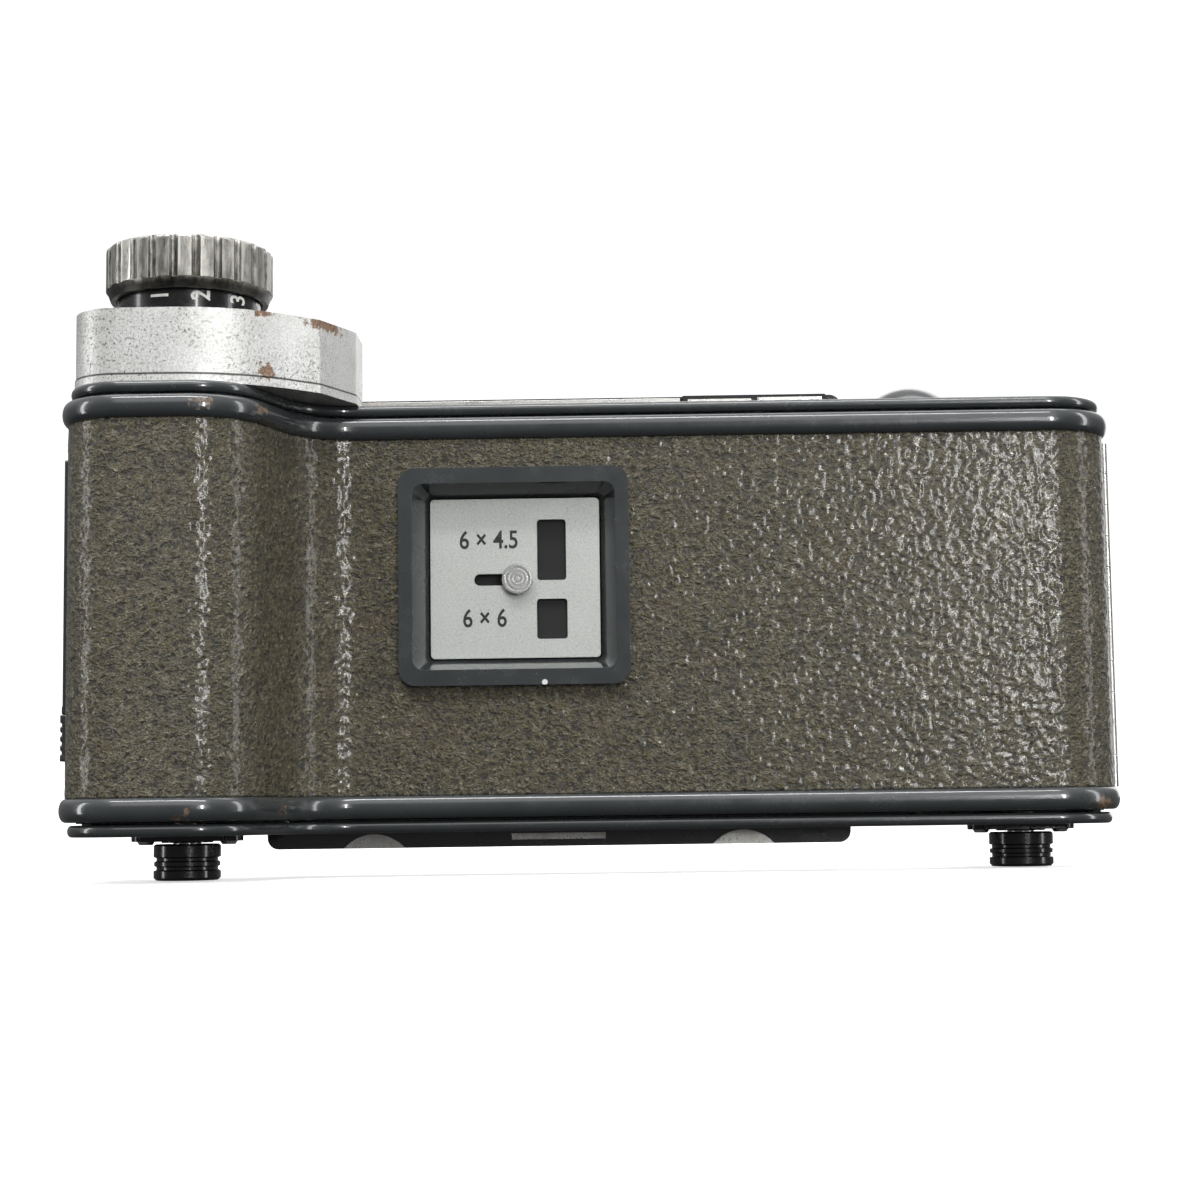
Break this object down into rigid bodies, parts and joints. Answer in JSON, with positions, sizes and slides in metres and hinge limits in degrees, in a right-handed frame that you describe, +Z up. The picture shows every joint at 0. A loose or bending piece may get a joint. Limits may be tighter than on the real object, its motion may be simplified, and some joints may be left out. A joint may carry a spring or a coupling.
{
  "type": "roll-film holder",
  "caption": "Knob-wind 120 roll-film holder with an S-shaped case, hinged leatherette back, shuttered number windows, frame counter dial and pull-out spool studs.",
  "frame": {"origin": "centre of the camera flange's front face, on the optical axis", "axes": "+X to the right seen from behind, along the film path; +Y forward, out of the flange towards the camera; +Z up, along the spools and towards the winding knob"},
  "size_m": [0.1969, 0.0613, 0.1151],
  "materials": {
    "case_enamel": "glossy grey stove enamel",
    "flange_black": "satin black enamel",
    "nickel": "worn nickel plate",
    "housing_plate": "satin silver finish on a casting, speckled",
    "knob_metal": "worn, dull",
    "dial_black": "gloss black with white numerals",
    "steel": "machined",
    "spring_steel": "blued wire",
    "brass": "machined",
    "spring_brass": "phosphor bronze strip",
    "inner_black": "matt black",
    "leatherette": "pebbled leatherette",
    "window_metal": "satin, speckled",
    "turned_metal": "turned rings",
    "red_glass": "deep red",
    "felt": "black felt",
    "spool_plastic": "moulded",
    "stud_black": "gloss black",
    "index_red": "red-brown paint",
    "shutter_black": "matt black"
  },
  "bodies": {
    "case": {"body_casting": "case_enamel", "camera_flange": "flange_black", "flange_screws": "nickel", "flange_pads": "nickel", "flange_top_strip": "nickel", "flange_catch": "inner_black", "flange_lock_bar": "nickel", "gate_frame": "inner_black", "winding_housing": "housing_plate", "housing_base_plate": "housing_plate", "housing_screws": "nickel", "wind_bush": "brass", "idler_posts": "steel", "clutch_spring": "spring_steel", "roller_cap": "case_enamel", "supply_brake_spring": "spring_brass", "supply_pivot": "steel", "take_up_stud_bush": "stud_black", "supply_stud_bush": "stud_black", "stud_plate_screws": "nickel", "take_up_stud_spring": "spring_steel", "supply_stud_spring": "spring_steel", "latch_guide": "case_enamel", "hinge_leaf_body": "nickel", "hinge_pin": "steel", "hinge_screws": "nickel"},
    "cover": {"back_cover": "case_enamel", "rim_mouldings": "case_enamel", "back_leatherette": "leatherette", "window_frame": "case_enamel", "window_plate": "window_metal", "number_filter": "red_glass", "filter_retainer": "inner_black", "hinge_leaf_cover": "nickel", "latch_hooks": "steel", "cover_light_seal": "felt", "pressure_springs": "spring_brass"},
    "pressure": {"pressure_plate": "inner_black"},
    "shutter": {"shutter_blade": "shutter_black", "shutter_knob": "turned_metal"},
    "latch": {"latch_slide": "case_enamel", "latch_thumb": "case_enamel", "latch_index": "index_red"},
    "wind": {"wind_knob": "knob_metal", "knob_cap": "knob_metal", "knob_screw": "nickel", "wind_shaft": "steel", "drive_key": "steel", "take_up_spool": "spool_plastic"},
    "meter": {"metering_roller": "steel", "metering_gear": "brass"},
    "idler_one": {"first_idler": "brass"},
    "idler_two": {"second_idler": "brass"},
    "dial": {"counter_dial": "dial_black", "dial_gear": "brass"},
    "guide_roller": {"supply_roller": "steel"},
    "take_up_stud": {"take_up_stud_pin": "steel", "take_up_stud_knob": "stud_black"},
    "supply_stud": {"supply_stud_pin": "steel", "supply_stud_knob": "stud_black"}
  },
  "joints": [
    {"name": "cover_hinge", "type": "hinge", "parent": "case", "child": "cover", "pos_m": [0.1052, -0.0055, 0], "axis": [0, 0, 1], "range_deg": [0, 120]},
    {"name": "pressure_give", "type": "slide", "parent": "cover", "child": "pressure", "axis": [0, -1, 0], "range_m": [0, 0.0008], "stiffness_N_per_m": 1500, "springref_m": -0.0004, "deforming": ["pressure_springs"]},
    {"name": "shutter_slide", "type": "slide", "parent": "cover", "child": "shutter", "axis": [-1, 0, 0], "range_m": [0, 0.007]},
    {"name": "latch_slide_z", "type": "slide", "parent": "case", "child": "latch", "axis": [0, 0, -1], "range_m": [0, 0.004]},
    {"name": "wind_spin", "type": "hinge", "parent": "case", "child": "wind", "pos_m": [-0.0664, -0.028, 0], "axis": [0, 0, 1], "continuous": true},
    {"name": "meter_spin", "type": "hinge", "parent": "case", "child": "meter", "pos_m": [-0.0505, -0.0168, 0], "axis": [0, 0, 1], "continuous": true},
    {"name": "idler_one_spin", "type": "hinge", "parent": "case", "child": "idler_one", "pos_m": [-0.0568, -0.0168, 0], "axis": [0, 0, 1], "continuous": true},
    {"name": "idler_two_spin", "type": "hinge", "parent": "case", "child": "idler_two", "pos_m": [-0.05492, -0.02281, 0], "axis": [0, 0, 1], "continuous": true},
    {"name": "dial_spin", "type": "hinge", "parent": "case", "child": "dial", "pos_m": [-0.0664, -0.028, 0], "axis": [0, 0, 1], "continuous": true},
    {"name": "guide_spin", "type": "hinge", "parent": "case", "child": "guide_roller", "pos_m": [0.068, -0.0096, 0], "axis": [0, 0, 1], "continuous": true},
    {"name": "take_up_stud_pull", "type": "slide", "parent": "case", "child": "take_up_stud", "axis": [0, 0, -1], "range_m": [0, 0.0034], "stiffness_N_per_m": 300, "springref_m": -0.002, "deforming": ["take_up_stud_spring"]},
    {"name": "supply_stud_pull", "type": "slide", "parent": "case", "child": "supply_stud", "axis": [0, 0, -1], "range_m": [0, 0.0034], "stiffness_N_per_m": 300, "springref_m": -0.002, "deforming": ["supply_stud_spring"]}
  ],
  "couplings": [
    {"joint": "idler_one_spin", "follows": "meter_spin", "ratio": -0.4},
    {"joint": "idler_two_spin", "follows": "meter_spin", "ratio": 0.16},
    {"joint": "dial_spin", "follows": "meter_spin", "ratio": -0.032}
  ]
}
